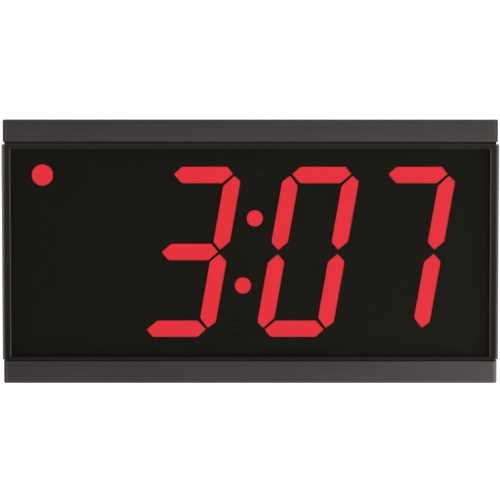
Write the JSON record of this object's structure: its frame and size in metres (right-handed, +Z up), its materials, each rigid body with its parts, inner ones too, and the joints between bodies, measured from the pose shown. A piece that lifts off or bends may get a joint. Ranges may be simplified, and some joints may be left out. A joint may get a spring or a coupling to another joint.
{
  "type": "gym round timer",
  "caption": "wall-hung LED round timer and clock: slanted red seven-segment digits behind a smoked lens in a gloss bezel, between two extruded rails, hooked on a steel bracket",
  "frame": {"origin": "centre of the wall bracket's back face, on the wall plane", "axes": "+X to the right seen from the front, +Y from the front of the clock into the wall, +Z up"},
  "size_m": [0.297, 0.057, 0.1574],
  "materials": {
    "rail_anodised": "charcoal anodised, fine satin grain",
    "bezel_gloss": "high gloss black",
    "lens_smoked": "smoked acrylic",
    "segment_lit": "lit red diffuser",
    "segment_unlit": "unlit red-tinted diffuser",
    "panel_black": "moulded matt black",
    "tape_black": "foam tape",
    "board_green": "solder mask",
    "led_red": "clear red epoxy",
    "chip_black": "moulded epoxy",
    "sensor_dark": "infrared-passing epoxy",
    "sensor_clear": "clear epoxy",
    "post_brass": "nickel-free brass",
    "screw_zinc": "zinc plated",
    "screw_black": "black oxide",
    "header_black": "moulded nylon",
    "crystal_can": "drawn can",
    "capacitor_sleeve": "shrink sleeve",
    "inductor_ferrite": "ferrite",
    "horn_black": "moulded black",
    "horn_brass": "rolled disc",
    "switch_black": "moulded",
    "button_grey": "fine texture",
    "plunger_ivory": "moulded",
    "slider_black": "moulded",
    "jack_black": "moulded",
    "pin_nickel": "nickel plated",
    "plug_white": "moulded nylon",
    "cable_grey": "flat cable jacket",
    "cover_black": "textured moulding",
    "door_black": "textured moulding",
    "cell_steel": "stainless can",
    "contact_nickel": "nickel plated strip",
    "lead_red": "insulated lead",
    "bumper_rubber": "moulded rubber",
    "bracket_steel": "powder coated"
  },
  "bodies": {
    "bracket": {"wall_bracket": "bracket_steel"},
    "clock": {"top_rail": "rail_anodised", "bottom_rail": "rail_anodised", "left_end_plate": "rail_anodised", "right_end_plate": "rail_anodised", "end_plate_screws": "screw_black", "front_bezel": "bezel_gloss", "lens_tape": "tape_black", "front_lens": "lens_smoked", "hour_tens_segments_unlit": "segment_unlit", "hour_units_segments_lit": "segment_lit", "hour_units_segments_unlit": "segment_unlit", "minute_tens_segments_lit": "segment_lit", "minute_tens_segment_unlit": "segment_unlit", "minute_units_segments_lit": "segment_lit", "minute_units_segments_unlit": "segment_unlit", "colon_dots": "segment_lit", "indicator_dot": "segment_lit", "light_baffle_panel": "panel_black", "display_board": "board_green", "segment_leds": "led_red", "infrared_receiver": "sensor_dark", "light_sensor": "sensor_clear", "led_driver_chips": "chip_black", "controller_board": "board_green", "board_standoffs": "post_brass", "controller_board_screws": "screw_zinc", "stacking_header": "header_black", "stacking_socket": "header_black", "microcontroller": "chip_black", "timing_crystal": "crystal_can", "filter_capacitors": "capacitor_sleeve", "power_inductor": "inductor_ferrite", "voltage_regulator": "chip_black", "horn_housing": "horn_black", "horn_disc": "horn_brass", "button_board": "board_green", "tact_switches": "switch_black", "volume_switch_body": "switch_black", "power_jack_housing": "jack_black", "power_jack_pin": "pin_nickel", "controller_cable_plug": "plug_white", "button_cable_plug": "plug_white", "flat_cable": "cable_grey", "rear_cover": "cover_black", "coin_cell": "cell_steel", "cell_contacts": "contact_nickel", "battery_lead_plug": "plug_white", "battery_leads": "lead_red", "rear_bumpers": "bumper_rubber"},
    "start_stop": {"start_stop_button": "button_grey", "start_stop_plunger": "plunger_ivory"},
    "reset": {"reset_button": "button_grey", "reset_plunger": "plunger_ivory"},
    "set_time": {"set_time_button": "button_grey", "set_time_plunger": "plunger_ivory"},
    "mode": {"mode_button": "button_grey", "mode_plunger": "plunger_ivory"},
    "volume": {"volume_slider": "slider_black"},
    "door": {"battery_door": "door_black"}
  },
  "joints": [
    {"name": "clock_lift_off", "type": "slide", "parent": "bracket", "child": "clock", "axis": [0, 0, 1], "range_m": [0, 0.009]},
    {"name": "start_stop_press", "type": "slide", "parent": "clock", "child": "start_stop", "axis": [0, 0, 1], "range_m": [0, 0.0005], "stiffness_N_per_m": 1200, "springref_m": -0.0005},
    {"name": "reset_press", "type": "slide", "parent": "clock", "child": "reset", "axis": [0, 0, 1], "range_m": [0, 0.0005], "stiffness_N_per_m": 1200, "springref_m": -0.0005},
    {"name": "set_time_press", "type": "slide", "parent": "clock", "child": "set_time", "axis": [0, 0, 1], "range_m": [0, 0.0005], "stiffness_N_per_m": 1200, "springref_m": -0.0005},
    {"name": "mode_press", "type": "slide", "parent": "clock", "child": "mode", "axis": [0, 0, 1], "range_m": [0, 0.0005], "stiffness_N_per_m": 1200, "springref_m": -0.0005},
    {"name": "volume_slide", "type": "slide", "parent": "clock", "child": "volume", "axis": [1, 0, 0], "range_m": [-0.002, 0.002]},
    {"name": "battery_door_turn", "type": "hinge", "parent": "clock", "child": "door", "pos_m": [-0.098, -0.006, -0.01], "axis": [0, 1, 0], "range_deg": [0, 90]}
  ]
}
